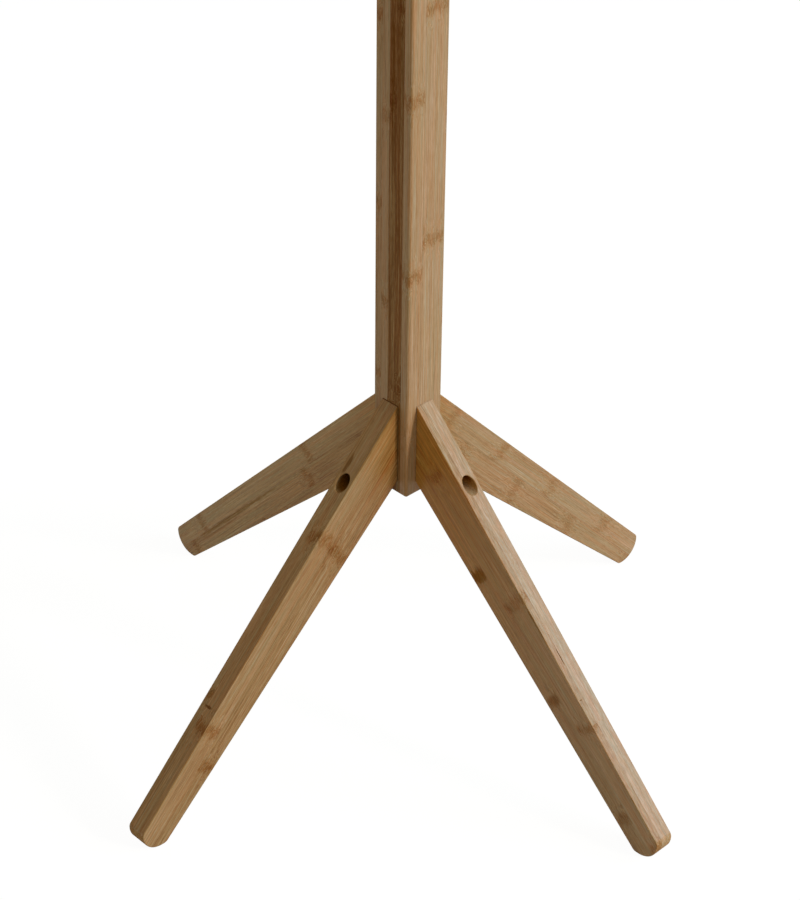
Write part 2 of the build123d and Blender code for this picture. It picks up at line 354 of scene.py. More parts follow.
LEG_INSERT = {
    "Outer Radius": 5.0,
    "Bore Radius": 3.05,
    "Length": 13.0,
    "Bevel": 0.8,
    "Outer Pitch": 2.5,
    "Outer Depth": 0.75,
    "Bore Pitch": 1.0,
    "Bore Depth": 0.45,
}
STUD_INSERT = LEG_INSERT | {
    "Outer Radius": 6.0,
    "Bore Radius": 4.05,
    "Length": 25.0,
    "Bore Pitch": 1.25,
}
STUD = {"Radius": 4.0, "Length": 60.0, "Bevel": 1.0, "Thread Pitch": 1.25, "Thread Depth": 0.65}
DOWEL = {"Radius": 4.0, "Bevel": 0.8, "Flute Depth": 0.25}

# A bolt head's smaller bevels, as shares of its bevel, and its socket's mouth, as a share of its width
SOCKET_BEVEL = 0.5
SEAT_BEVEL = 0.6
SOCKET_MOUTH = 0.61

# Fineness of the fasteners: steps round, rows in a turn of thread and steps from flute to flute
# Points merge within a distance in metres, and edges are sharp from an angle in degrees.
SEGMENTS = 60
THREAD_ROWS = 4
FLUTE_STEPS = 3
MERGE_DISTANCE = 2e-6
SHARP_ANGLE = 30.0

# Metals, as (colour, worn colour, roughness), patterns, as (spots per metre, octaves), and relief
METALS = {
    "black_bolt": ((0.045, 0.046, 0.050, 1), (0.095, 0.094, 0.096, 1), 0.40),
    "zinc_plate": ((0.56, 0.58, 0.60, 1), (0.44, 0.45, 0.46, 1), 0.34),
    "brass_sleeve": ((0.66, 0.43, 0.17, 1), (0.54, 0.34, 0.13, 1), 0.32),
}
METAL_CLOUDS = ((420.0, 420.0, 420.0), 3.0)
METAL_SCRATCHES = ((3780.0, 3780.0, 3780.0), 2.0)
METAL_CLOUD_FADE = (0.48, 0.70)
METAL_SCRATCH_FADE = (0.40, 0.62)
METAL_ROUGH_SWING = 0.22
METAL_RELIEF = (0.25, 0.02 * MM)

# Beech of the dowels, with its patterns as for metals
BEECH_DARK = (0.56, 0.36, 0.19, 1)
BEECH_PALE = (0.68, 0.48, 0.29, 1)
BEECH_FLECK = (0.70, 0.52, 0.40, 1)
BEECH_CLOUDS = ((160.0, 160.0, 420.0), 2.0)
BEECH_FLECKS = ((1100.0, 1100.0, 3600.0), 1.0)
BEECH_FLECK_FADE = (0.58, 0.66)
BEECH_GLOSS = 0.25
BEECH_ROUGH_RULE = (0.20, 0.50)
BEECH_RELIEF = (1.0, 0.03 * MM)


def metres(sizes):
    """Sizes in mm, turned into metres."""
    return [size * MM for size in sizes]


def mid_height(node):
    """The height of a node's middle, in metres."""
    return sum(corner.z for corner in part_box(node)) / 2


# Places that the frame gives, in metres
post_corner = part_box("lower_post")[1]
post_half = post_corner.x
leg_bolt_height = mid_height("leg_bolts")
leg_dowel_height = mid_height("leg_dowels")


class Net:
    """Adds nodes to one node tree and wires them together."""

    def __init__(self, tree):
        self.tree = tree

    def feed(self, socket, value):
        """Links a socket to another, or sets it to a plain value."""
        if isinstance(value, bpy.types.NodeSocket):
            self.tree.links.new(value, socket)
        else:
            socket.default_value = value

    def add(self, kind, inputs=(), **settings):
        """Adds a node, feeds its inputs, by name or in turn, and gives its outputs."""
        node = self.tree.nodes.new(kind)
        for name, value in settings.items():
            setattr(node, name, value)
        for socket, value in inputs.items() if isinstance(inputs, dict) else enumerate(inputs):
            self.feed(node.inputs[socket], value)
        return node.outputs

    def math(self, operation, *values, clamp=False):
        return self.add("ShaderNodeMath", values, operation=operation, use_clamp=clamp)[0]

    def plus(self, first, second):
        return self.math("ADD", first, second)

    def less(self, first, second):
        return self.math("SUBTRACT", first, second)

    def over(self, first, second):
        return self.math("DIVIDE", first, second)

    def minus(self, value):
        return self.math("MULTIPLY", value, -1.0)

    def product(self, first, *others):
        for other in others:
            first = self.math("MULTIPLY", first, other)
        return first

    def vector(self, operation, *values):
        result = "Value" if operation in ("DOT_PRODUCT", "LENGTH") else "Vector"
        return self.add("ShaderNodeVectorMath", values, operation=operation)[result]

    def combine(self, x, y, z):
        return self.add("ShaderNodeCombineXYZ", (x, y, z))[0]

    def scaled(self, value, shares):
        """A vector of three shares of one value."""
        return self.combine(*[self.product(value, share) for share in shares])

    def split(self, vector):
        return self.add("ShaderNodeSeparateXYZ", [vector])

    def split_colour(self, colour):
        return self.add("ShaderNodeSeparateColor", [colour])

    def noise(self, vector, detail):
        """A soft pattern."""
        return self.add("ShaderNodeTexNoise", {"Vector": vector, "Scale": 1.0, "Detail": detail})["Fac"]

    def pattern(self, place, spots, detail):
        """Noise with so many spots per metre along x, y and z."""
        return self.noise(self.vector("MULTIPLY", place, spots), detail)

    def swing(self, pattern):
        """How far a pattern is off its mean, a half."""
        return self.less(pattern, 0.5)

    def fade(self, value, start, end):
        """Goes smoothly from 0 where value is start to 1 where it is end."""
        span = {"Value": value, "From Min": start, "From Max": end}
        return self.add("ShaderNodeMapRange", span, interpolation_type="SMOOTHSTEP")[0]

    def blend(self, kind, share, first, second):
        """Mixes two colours. A mix node has its colour sockets behind those for numbers and vectors."""
        inputs = {"Factor": share, 6: first, 7: second}
        return self.add("ShaderNodeMix", inputs, data_type="RGBA", blend_type=kind)[2]

    def ramp(self, value, stops, interpolation="LINEAR"):
        """A colour ramp's outputs. Stops are (place, colour)."""
        outputs = self.add("ShaderNodeValToRGB", [value])
        ramp = outputs["Color"].node.color_ramp
        ramp.interpolation = interpolation
        while len(ramp.elements) < len(stops):
            ramp.elements.new(1.0)
        for element, (place, colour) in zip(ramp.elements, stops):
            element.position = place
            element.color = colour
        return outputs

    def emboss(self, shader, height, strength, distance):
        """Raises a shader's surface by height times distance."""
        relief = self.add("ShaderNodeBump", {"Strength": strength, "Distance": distance, "Height": height})
        self.feed(shader.inputs["Normal"], relief[0])


def node_group(name, kind, inputs, outputs):
    """An empty group of nodes: a net for it, what it is given and what it results in."""
    tree = bpy.data.node_groups.new(name, kind)
    for way, sockets in (("INPUT", inputs), ("OUTPUT", outputs)):
        for socket, value in sockets.items():
            tree.interface.new_socket(socket, in_out=way, socket_type="NodeSocket" + value)
    net = Net(tree)
    return net, net.add("NodeGroupInput"), tree.nodes.new("NodeGroupOutput").inputs


def new_material(name):
    """A plain material, a net for its nodes and its shader."""
    material = bpy.data.materials.new(name)
    material.use_nodes = True
    return material, Net(material.node_tree), material.node_tree.nodes["Principled BSDF"]


def bamboo_group():
    """The grain of laminated bamboo, as a solid pattern: strips, layers, fibres, nodes and end grain, with
    painted shade and a warm painted bounce of light at a bolted end.
    Grain runs along x, strips lie side by side along y, and layers are stacked along z."""
    nature = ("Growth", "Contrast", "Marks", "Seed")
    places = ("Strip Face", "Layer Face", "Flaws", "End Face", "Rubbed", "Gap_Shade", "Painted_Bounce", "Bore")
    inputs = {"Grain": "Vector"} | dict.fromkeys(("Strip", "Layer", "Tint"), "Color")
    inputs |= dict.fromkeys((*nature, *places), "Float")
    outputs = {"Color": "Color", "Gloss": "Float", "Roughness": "Float", "Height": "Float"}
    net, given, result = node_group("bamboo_grain", "ShaderNodeTree", inputs, outputs)

    grain = net.vector("DIVIDE", given["Grain"], (MM, MM, MM))
    along, across, deep = net.split(grain)
    strip_tone, strip_node, strip_spacing = net.split_colour(given["Strip"])
    layer_tone, layer_node, layer_spacing = net.split_colour(given["Layer"])
    tone = net.plus(strip_tone, net.swing(layer_tone))
    first_node = net.over(net.plus(strip_node, layer_node), MM)
    spacing = net.product(strip_spacing, layer_spacing, FACTOR_ROOM / MM)

    # Each strip of each layer takes its own piece of the fibre pattern
    shift = net.math("MULTIPLY_ADD", strip_node, STRIP_SHIFT, given["Seed"])
    shift = net.math("MULTIPLY_ADD", layer_node, LAYER_SHIFT, shift)
    own = net.scaled(shift, SHIFT_WAY)

    # Nodes: counted along the grain, each on a line that bends
    grown = net.less(along, net.product(given["Growth"], along, along))
    count = net.over(net.less(grown, first_node), spacing)
    number = net.math("ROUND", count)
    offset = net.product(net.less(count, number), spacing)
    node_place = net.math("MULTIPLY_ADD", number, NODE_SHIFT, shift)

    def sideways(width, detail):
        spot = net.combine(net.over(across, width), net.over(deep, width), node_place)
        return net.swing(net.noise(spot, detail))

    bent = net.math("MULTIPLY_ADD", sideways(*BEND_PATTERN), BEND, offset)
    away = net.math("ABSOLUTE", bent)
    begun = net.fade(number, *FIRST_NODE_FADE)
    marks = net.product(given["Marks"], begun)

    # Fibres, which swirl a little round the nodes
    def fibres(place, sizes, detail):
        return net.noise(net.vector("ADD", net.vector("DIVIDE", place, sizes), own), detail)

    eddy = net.product(net.swing(fibres(grain, *EDDY_PATTERN)), net.fade(away, *EDDY_FADE))
    swirled = net.vector("ADD", grain, net.scaled(eddy, EDDY_PUSH))
    seen = {}
    for name, (length, width, detail) in FIBRES.items():
        seen[name] = fibres(swirled, (length, width, width), detail)
    seen["bundle"] = net.fade(seen["bundle"], *BUNDLE_FADE)

    # Marks of a node: a ragged row of reddish strokes and spots, with a halo and a tail of dark streaks
    torn = net.math("ABSOLUTE", net.math("MULTIPLY_ADD", sideways(*TEAR_PATTERN), TEAR, bent))
    stroke = net.product(net.fade(torn, *STROKE_FADE), net.fade(sideways(*STROKE_PATTERN), *STROKE_EDGE))
    spots = net.product(net.fade(seen["spot"], *SPOT_EDGE), net.fade(away, *SPOT_FADE))
    seen["stroke"] = net.product(net.math("MAXIMUM", stroke, spots), STROKE_SHARE, marks)
    seen["halo"] = net.product(net.fade(away, *HALO_FADE), marks)
    tail = net.product(net.fade(bent, *TAIL_FADE_OUT), net.fade(bent, *TAIL_FADE_IN), begun)
    seen["tail"] = net.product(tail, net.fade(seen["streak"], *TAIL_EDGE))

    # Glue between strips and layers, flaws, and the cut ends of the fibre bundles, which show as dark dots
    seen["glue"] = net.less(1.0, net.product(given["Strip Face"], given["Layer Face"]))
    seen["flaw"] = net.fade(given["Flaws"], *FLAW_DULL_FADE)
    seen["slit"] = net.fade(given["Flaws"], *SLIT_FADE)
    section = {"Vector": net.combine(across, deep, 0.0), "Scale": END_DOTS}
    dots = net.add("ShaderNodeTexVoronoi", section, voronoi_dimensions="2D")
    dot = net.fade(dots["Distance"], *END_DOT_FADE)
    seen["end"] = given["End Face"]
    seen["end_dots"] = net.product(given["End Face"], net.math("MULTIPLY_ADD", dot, *END_DOT_RULE))
    # Rubbed edges come in from the piece, and so do the masks of painted light: contact shade at the post, a
    # warm bounce near it, and shade inside the bore
    for name in ("Rubbed", "Gap_Shade", "Painted_Bounce", "Bore"):
        seen[name.lower()] = given[name]

    def summed(total, shares):
        for name, share in shares.items():
            total = net.math("MULTIPLY_ADD", seen[name], share, total)
        return total

    def stained_or_painted(colour, *names):
        for name in names:
            share, tint = STAINS_AND_PAINTED_LIGHT[name]
            colour = net.blend("MULTIPLY", net.product(seen[name], share), colour, tint)
        return colour

    # Colour: patterns swing about a half, and darker strips show more contrast
    contrast = net.product(net.math("MULTIPLY_ADD", tone, *CONTRAST_RULE), given["Contrast"])
    swing = summed(-sum(SHADES.values()) / 2, SHADES)
    colour = net.ramp(net.math("MULTIPLY_ADD", swing, contrast, tone), BAMBOO_TONES)["Color"]
    for name, (first, second) in HUES.items():
        hue = net.blend("MIX", net.fade(seen[name], *HUE_FADES[name]), first, second)
        colour = net.blend("MULTIPLY", 1.0, colour, hue)
    colour = net.blend("MULTIPLY", 1.0, colour, given["Tint"])
    colour = stained_or_painted(colour, "bundle", "tail", "halo", "stroke", "glue")
    colour = net.blend("MIX", given["Flaws"], colour, FLAW_BROWN)
    # Then the end-grain dots stain it, and painted light goes on: a warm painted bounce near the post,
    # painted contact shade at the post and painted shade inside the bore
    colour = stained_or_painted(colour, "end_dots", "painted_bounce", "gap_shade", "bore")

    # Lacquer: scorched strips, marks, cut ends, gaps and bores drink it up, and rubbed edges are dull too
    gloss = net.math("MULTIPLY_ADD", net.math("MULTIPLY", tone, 1.0, clamp=True), *GLOSS_RULE)
    dull = 0.0
    for name, share in DULLED.items():
        dull = net.math("MAXIMUM", dull, net.product(seen[name], share))
    net.feed(result["Color"], colour)
    net.feed(result["Gloss"], net.product(gloss, net.less(1.0, dull)))
    net.feed(result["Roughness"], summed(LEAST_ROUGH, ROUGHENED))
    net.feed(result["Height"], summed(0.0, RELIEF))
    return net.tree


def flaw_group():
    """One long soft-edged mark in the wood, such as a slit or a dark streak."""
    inputs = dict.fromkeys(("Grain", "Centre", "Reach"), "Vector")
    inputs |= dict.fromkeys(("Strength", "Others"), "Float")
    net, given, result = node_group("wood_flaw", "ShaderNodeTree", inputs, {"Flaws": "Float"})
    fray = net.product(net.swing(net.pattern(given["Grain"], *FLAW_PATTERN)), FLAW_FRAY)
    reach = net.vector("DIVIDE", net.vector("SUBTRACT", given["Grain"], given["Centre"]), given["Reach"])
    apart = net.plus(net.vector("LENGTH", reach), fray)
    mark = net.product(net.fade(apart, *FLAW_EDGE), given["Strength"])
    net.feed(result["Flaws"], net.math("MAXIMUM", mark, given["Others"]))
    return net.tree


BAMBOO_GROUP = bamboo_group()
FLAW_GROUP = flaw_group()


def glued_up(faces, low, high):
    """Ramp stops for strips or layers side by side from low to high, in mm. Each face is (edge it starts at,
    three values), and the alpha drops to 0 at the glue line between two faces."""
    stops = []
    starts = [low, *[start for start, _ in faces[1:]]]
    ends = [*[start for start, _ in faces[1:]], high + GLUE_LINE]
    for start, end, (_, values) in zip(starts, ends, faces):
        stops.append((max(0.0, (start + GLUE_LINE / 2 - low) / (high - low)), (*values, 1.0)))
        stops.append((min(1.0, (end - GLUE_LINE / 2 - low) / (high - low)), (*values, 0.0)))
    stops[0] = (0.0, stops[0][1])
    return stops[:-1]


def laid(net, value, faces, low, high):
    """A ramp's outputs for strips or layers laid side by side along value."""
    span = {"Value": value, "From Min": low * MM, "From Max": high * MM}
    share = net.add("ShaderNodeMapRange", span)[0]
    return net.ramp(share, glued_up(faces, low, high), "CONSTANT")


def flawed(net, grain, flaws):
    """All the flaws of one piece."""
    marks = 0.0
    for centre, reach, strength in flaws:
        flaw = {"Centre": metres(centre), "Reach": metres(reach), "Strength": strength}
        flaw |= {"Grain": grain, "Others": marks}
        marks = net.add("ShaderNodeGroup", flaw, node_tree=FLAW_GROUP)["Flaws"]
    return marks


def bamboo(name, axes, origin, board, bolt=None):
    """The material of one piece. axes are its grain, strip and layer directions, which start at origin.
    bolt is where a bolted piece's bolt enters the post, the bolt's direction and the way into the wood."""
    material, net, shader = new_material("bamboo_" + name)
    shader.inputs["IOR"].default_value = LACQUER_IOR

    here = net.add("ShaderNodeTexCoord")["Object"]
    turn = {"Vector": here, "Location": origin, "Rotation": Matrix(axes).transposed().to_euler("XYZ")}
    grain = net.add("ShaderNodeMapping", turn, vector_type="TEXTURE")[0]
    _, across, deep = net.split(grain)
    strips = [(edge, (tone, node * MM, space * MM)) for edge, tone, node, space in board["strips"]]
    layers = [(edge, (tone, move * MM, share / FACTOR_ROOM)) for edge, tone, move, share in board["layers"]]
    strip = laid(net, across, strips, *board["span"])
    layer = laid(net, deep, layers, *board["depth"])
    normal = net.add("ShaderNodeNewGeometry")["Normal"]

    def towards(way):
        return net.vector("DOT_PRODUCT", normal, way)

    end, edge, side = (net.math("ABSOLUTE", towards(way)) for way in axes)
    # A bolted piece gets painted light: contact shade at the post, a warm bounce on its sides near the post,
    # and shade inside its bore, lighter at the mouth
    gap_shade = painted_bounce = bore = 0.0
    if bolt:
        place, outward, inward = bolt
        from_post = net.vector("SUBTRACT", here, place)
        reach = net.vector("DOT_PRODUCT", from_post, outward)
        # Painted contact shade within about a millimetre of the post
        gap_shade = net.product(net.fade(reach, *metres(GAP_SHADE_FADE)), board["gap_shade"])
        bounce_reach, first, last = board["painted_bounce"]
        # A warm painted bounce of light on the sides near the post, with its own strength on the first and
        # on the last layer
        painted_bounce = net.product(
            net.fade(reach, *metres((bounce_reach, BOUNCE_FULL))),
            net.fade(side, *BOUNCE_SIDE_FADE),
            net.math("MULTIPLY_ADD", net.fade(towards(axes[2]), *LAST_SIDE_FADE), last - first, first),
        )
        off_axis = net.vector("LENGTH", net.vector("CROSS_PRODUCT", from_post, outward))
        sunk = net.vector("DOT_PRODUCT", net.vector("SUBTRACT", here, origin), inward)
        # Painted shade inside the bore deepens from the mouth inward, and a share of it is taken off the
        # upward floor that the lamp lights
        bore = net.product(
            net.fade(off_axis, *metres(BORE_RIM_FADE)),
            net.fade(sunk, *metres(BORE_SUNK_FADE)),
            net.math("MULTIPLY_ADD", net.fade(towards(UP), *BORE_FLOOR_FADE), -board["lit_bore_floor"], 1.0),
        )
    rounded = net.product(net.fade(side, *ROUNDED_FADE_IN), net.fade(side, *ROUNDED_FADE_OUT))

    look = {
        "Grain": grain,
        "Strip": strip["Color"],
        "Strip Face": net.math("MAXIMUM", strip["Alpha"], net.fade(edge, *STRIP_SIDE_FADE)),
        "Layer": layer["Color"],
        "Layer Face": layer["Alpha"],
        "Tint": (*board["tint"], 1),
        "Growth": board["growth"],
        "Contrast": board["contrast"],
        "Marks": board["marking"],
        "Flaws": flawed(net, grain, board["flaws"]),
        "End Face": net.fade(end, *END_FADE),
        "Rubbed": net.math("MAXIMUM", rounded, net.fade(end, *TIP_FADE)),
        "Gap_Shade": gap_shade,
        "Painted_Bounce": painted_bounce,
        "Bore": bore,
        "Seed": board["seed"],
    }
    wood = net.add("ShaderNodeGroup", look, node_tree=BAMBOO_GROUP)
    net.feed(shader.inputs["Base Color"], wood["Color"])
    net.feed(shader.inputs["Specular IOR Level"], wood["Gloss"])
    net.feed(shader.inputs["Roughness"], wood["Roughness"])
    net.emboss(shader, wood["Height"], 1.0, MM)
    return material


def board_axes(outward, rise, tilt=0.0):
    """Grain, strip and layer directions of a leg, or of an arm, which is much like a leg upside down."""
    slope = math.radians(BOARD_SLOPE)
    layer = outward.cross(rise)
    grain = outward * math.cos(slope) + rise * math.sin(slope)
    turned_grain = Matrix.Rotation(math.radians(tilt), 3, layer) @ grain
    return turned_grain, layer.cross(turned_grain), layer


def finish_wood():
    """Gives every bamboo piece its own length of bamboo."""
    draw = random.Random(ARM_DRAW_SEED)

    def drawn(ranges):
        return [draw.uniform(*limits) for limits in ranges]

    def finish(node, *boarding):
        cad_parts[node].material_slots[0].material = bamboo(node, *boarding)

    post_axes = (UP, SIDES["front"], SIDES["right"])
    finish("lower_post", post_axes, Vector(), LOWER_POST)
    finish("upper_post", post_axes, UP * (UPPER_POST_START * MM), UPPER_POST)
    for side, outward in SIDES.items():
        leg = "leg_" + side
        face = outward * post_half
        axes = board_axes(outward, -UP, LEGS[side]["tilt"])
        bolt = (face + UP * leg_bolt_height, outward, board_axes(outward, -UP)[1])
        finish(leg, axes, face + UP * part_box(leg)[1].z, LEGS[side], bolt)
    for tier in TIERS:
        for side, outward in SIDES.items():
            arm = f"{tier}_arm_{side}"
            foot = outward * post_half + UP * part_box(arm)[0].z
            axes = board_axes(outward, UP)
            width = draw.uniform(*ARM_STRIP_WIDTH)
            board = ARM | {
                "strips": [(edge, *drawn(ARM_STRIP_RANGES)) for edge in (0, width, 2 * width)],
                "layers": [(edge, *drawn(ARM_LAYER_RANGES)) for edge in ARM_LAYER_EDGES],
                "seed": draw.uniform(*ARM_SEED_RANGE),
            }
            finish(arm, axes, foot, board, (foot + UP * (ARM_BOLT_RISE * MM), outward, axes[1]))


def turned(net, rows, outline):
    """A surface swept round z. outline(row, angle) gives the radius and the height of one row at one angle.
    Rows that run from the top outwards, down and back in face outwards."""
    grid = net.add("GeometryNodeMeshGrid", {"Vertices X": SEGMENTS + 1, "Vertices Y": rows})
    index = net.add("GeometryNodeInputIndex")[0]
    column = net.math("FLOOR", net.over(net.plus(index, 0.5), rows))
    row = net.less(index, net.product(column, rows))
    angle = net.product(column, -math.tau / SEGMENTS)
    radius, height = outline(row, angle)
    x = net.product(radius, net.math("COSINE", angle))
    y = net.product(radius, net.math("SINE", angle))
    placed = {"Geometry": grid["Mesh"], "Position": net.combine(x, y, height)}
    return net.add("GeometryNodeSetPosition", placed)[0]


def listed(net, row, values):
    """The value of each row in turn."""
    switch = net.add("GeometryNodeIndexSwitch", data_type="FLOAT")[0].node
    while len(switch.index_switch_items) < len(values):
        switch.index_switch_items.new()
    for socket, value in zip(switch.inputs, (row, *values)):
        net.feed(socket, value)
    return switch.outputs[0]


def profile(net, points):
    """A turned surface through (radius, height) points. A radius may be a function of the angle."""

    def outline(row, angle):
        radii = [radius(angle) if callable(radius) else radius for radius, _ in points]
        return listed(net, row, radii), listed(net, row, [height for _, height in points])

    return turned(net, len(points), outline)


def thread(net, crest, depth, start, end, pitch, rising=False):
    """A right-hand screw thread between two heights, which runs out into a plain round at both ends.
    Its rows follow the helix, and where they pass an end they are held there and merge."""
    low, high = (start, end) if rising else (end, start)
    turns = net.over(net.less(high, low), pitch)
    rows = net.math("MULTIPLY_ADD", net.math("CEIL", net.plus(turns, 1.0)), THREAD_ROWS, 1.0)

    def outline(row, angle):
        climb = net.over(row, THREAD_ROWS if rising else -THREAD_ROWS)
        turn = net.over(angle, math.tau)
        lead = net.plus(net.plus(climb, turn), 0.0 if rising else 1.0)
        height = net.math("MULTIPLY_ADD", lead, pitch, start)
        height = net.math("MINIMUM", net.math("MAXIMUM", height, low), high)
        groove = net.math("PINGPONG", net.over(row, THREAD_ROWS / 2), 1.0)
        ends = net.math("MINIMUM", net.less(height, low), net.less(high, height))
        groove = net.math("MULTIPLY", groove, net.math("DIVIDE", ends, pitch, clamp=True))
        return net.less(crest, net.product(groove, depth)), height

    return turned(net, rows, outline)


def joined(net, *surfaces):
    """One closed mesh of surfaces that meet at their edges."""
    join = net.add("GeometryNodeJoinGeometry")[0]
    for surface in surfaces:
        net.feed(join.node.inputs[0], surface)
    return net.add("GeometryNodeMergeByDistance", {"Geometry": join, "Distance": MERGE_DISTANCE})[0]


def bolt_shape(net, size):
    """A socket head bolt, its seat at height 0 and its tip below."""

    def hexagon(angle):
        sixth = net.less(net.math("FLOORED_MODULO", angle, math.tau / 6), math.tau / 12)
        return net.over(net.product(size["Socket Width"], 0.5), net.math("COSINE", sixth))

    def knurled(angle):
        ridge = net.math("PINGPONG", net.product(angle, SEGMENTS / math.tau), 1.0)
        return net.less(size["Head Radius"], net.product(ridge, size["Knurl Depth"]))

    top = size["Head Height"]
    floor = net.less(top, size["Socket Depth"])
    bevel = size["Head Bevel"]
    seat_bevel = net.product(bevel, SEAT_BEVEL)
    mouth = net.product(size["Socket Width"], SOCKET_MOUTH)
    shank = size["Shank Radius"]
    tip = net.minus(size["Length"])
    shoulder = net.plus(tip, size["Tip Bevel"])
    thread_top = net.plus(shoulder, size["Thread Length"])
    head = profile(
        net,
        [
            (0.0, floor),
            (hexagon, floor),
            (hexagon, net.less(top, net.product(bevel, SOCKET_BEVEL))),
            (mouth, top),
            (net.less(size["Head Radius"], bevel), top),
            (knurled, net.less(top, bevel)),
            (knurled, seat_bevel),
            (net.less(size["Head Radius"], seat_bevel), 0.0),
            (shank, 0.0),
            (shank, thread_top),
        ],
    )
    threaded = thread(net, shank, size["Thread Depth"], thread_top, shoulder, size["Thread Pitch"])
    end = profile(net, [(shank, shoulder), (net.less(shank, size["Tip Bevel"]), tip), (0.0, tip)])
    return joined(net, head, threaded, end)


def washer_shape(net, size):
    """A flat washer with broken edges, lying on height 0."""
    outer, hole, thickness, bevel = (size[name] for name in WASHER)
    top = net.less(thickness, bevel)
    wide = net.plus(hole, bevel)
    narrow = net.less(outer, bevel)
    ring = [(hole, top), (wide, thickness), (narrow, thickness), (outer, top)]
    ring += [(outer, bevel), (narrow, 0.0), (wide, 0.0), (hole, bevel), (hole, top)]
    return joined(net, profile(net, ring))


def spring_washer_shape(net, size):
    """A split ring whose ends spring apart, with its slit at the top."""
    wire = net.less(size["Outer Radius"], size["Hole Radius"])
    middle = net.product(net.plus(size["Outer Radius"], size["Hole Radius"]), 0.5)
    slit = net.over(size["Slit"], middle)
    ring = {
        "Resolution": SEGMENTS + 1,
        "Radius": middle,
        "Start Angle": net.product(slit, 0.5),
        "Sweep Angle": net.less(math.tau, slit),
    }
    arc = net.add("GeometryNodeCurveArc", ring, mode="RADIUS")[0]
    along = net.add("GeometryNodeSplineParameter")["Factor"]
    lift = net.math("MULTIPLY_ADD", along, size["Rise"], net.product(size["Thickness"], 0.5))
    lifted = net.add("GeometryNodeSetPosition", {"Geometry": arc, "Offset": net.combine(0.0, 0.0, lift)})
    upright = net.add("GeometryNodeSetCurveNormal", [lifted[0]], mode="Z_UP")[0]
    sides = {"Width": wire, "Height": size["Thickness"]}
    section = net.add("GeometryNodeCurvePrimitiveQuadrilateral", sides)[0]
    eased = net.add("GeometryNodeFilletCurve", {"Curve": section, "Radius": size["Bevel"]}, mode="POLY")[0]
    swept = {"Curve": upright, "Profile Curve": eased, "Fill Caps": True}
    return net.add("GeometryNodeCurveToMesh", swept)[0]


def insert_shape(net, size):
    """A sleeve with a coarse thread outside and a fine one in its bore. Its outer end is at height 0."""
    outer, bore, bevel = size["Outer Radius"], size["Bore Radius"], size["Bevel"]
    half = net.product(bevel, 0.5)
    wide = net.plus(bore, half)
    narrow = net.less(outer, bevel)
    foot = net.minus(size["Length"])
    high, low = net.minus(bevel), net.plus(foot, bevel)
    bore_high, bore_low = net.minus(half), net.plus(foot, half)
    groove = net.minus(size["Bore Depth"])
    return joined(
        net,
        profile(net, [(bore, bore_high), (wide, 0.0), (narrow, 0.0), (outer, high)]),
        thread(net, outer, size["Outer Depth"], high, low, size["Outer Pitch"]),
        profile(net, [(outer, low), (narrow, foot), (wide, foot), (bore, bore_low)]),
        thread(net, bore, groove, bore_low, bore_high, size["Bore Pitch"], rising=True),
    )


def stud_shape(net, size):
    """A rod threaded from end to end, its top at height 0."""
    radius, bevel = size["Radius"], size["Bevel"]
    narrow = net.less(radius, bevel)
    tip = net.minus(size["Length"])
    high, low = net.minus(bevel), net.plus(tip, bevel)
    return joined(
        net,
        profile(net, [(0.0, 0.0), (narrow, 0.0), (radius, high)]),
        thread(net, radius, size["Thread Depth"], high, low, size["Thread Pitch"]),
        profile(net, [(radius, low), (narrow, tip), (0.0, tip)]),
    )


def dowel_shape(net, size):
    """A fluted dowel, its outer end at height 0."""
    radius, bevel = size["Radius"], size["Bevel"]

    def fluted(angle):
        column = net.math("ROUND", net.product(angle, -SEGMENTS / math.tau))
        apart = net.math("ABSOLUTE", net.less(net.math("MODULO", column, FLUTE_STEPS), 1.0))
        groove = net.math("SUBTRACT", 1.0, apart, clamp=True)
        return net.less(radius, net.product(groove, size["Flute Depth"]))

    narrow = net.less(radius, bevel)
    tip = net.minus(size["Length"])
    high, low = net.minus(bevel), net.plus(tip, bevel)
    points = [(0.0, 0.0), (narrow, 0.0), (fluted, high), (fluted, low), (narrow, tip), (0.0, tip)]
    return joined(net, profile(net, points))


def fastener_tree(name, shape, sizes):
    """Makes one fastener from its named sizes and sets a copy of it on every place."""
    inputs = {"Places": "Geometry", "Finish": "Material"} | dict.fromkeys(sizes, "Float")
    net, given, result = node_group(name, "GeometryNodeTree", inputs, {"Fasteners": "Geometry"})
    ways = []
    for attribute in ("axis", "top"):
        named = {"Name": attribute}
        ways.append(net.add("GeometryNodeInputNamedAttribute", named, data_type="FLOAT_VECTOR")[0])
    turn = net.add("FunctionNodeAxesToRotation", ways, primary_axis="Z", secondary_axis="X")[0]
    placing = {"Points": given["Places"], "Instance": shape(net, given), "Rotation": turn}
    copies = net.add("GeometryNodeInstanceOnPoints", placing)[0]
    realized = net.add("GeometryNodeRealizeInstances", [copies])[0]
    finished = net.add("GeometryNodeSetMaterial", {"Geometry": realized, "Material": given["Finish"]})[0]
    net.feed(result["Fasteners"], finished)
    return net.tree


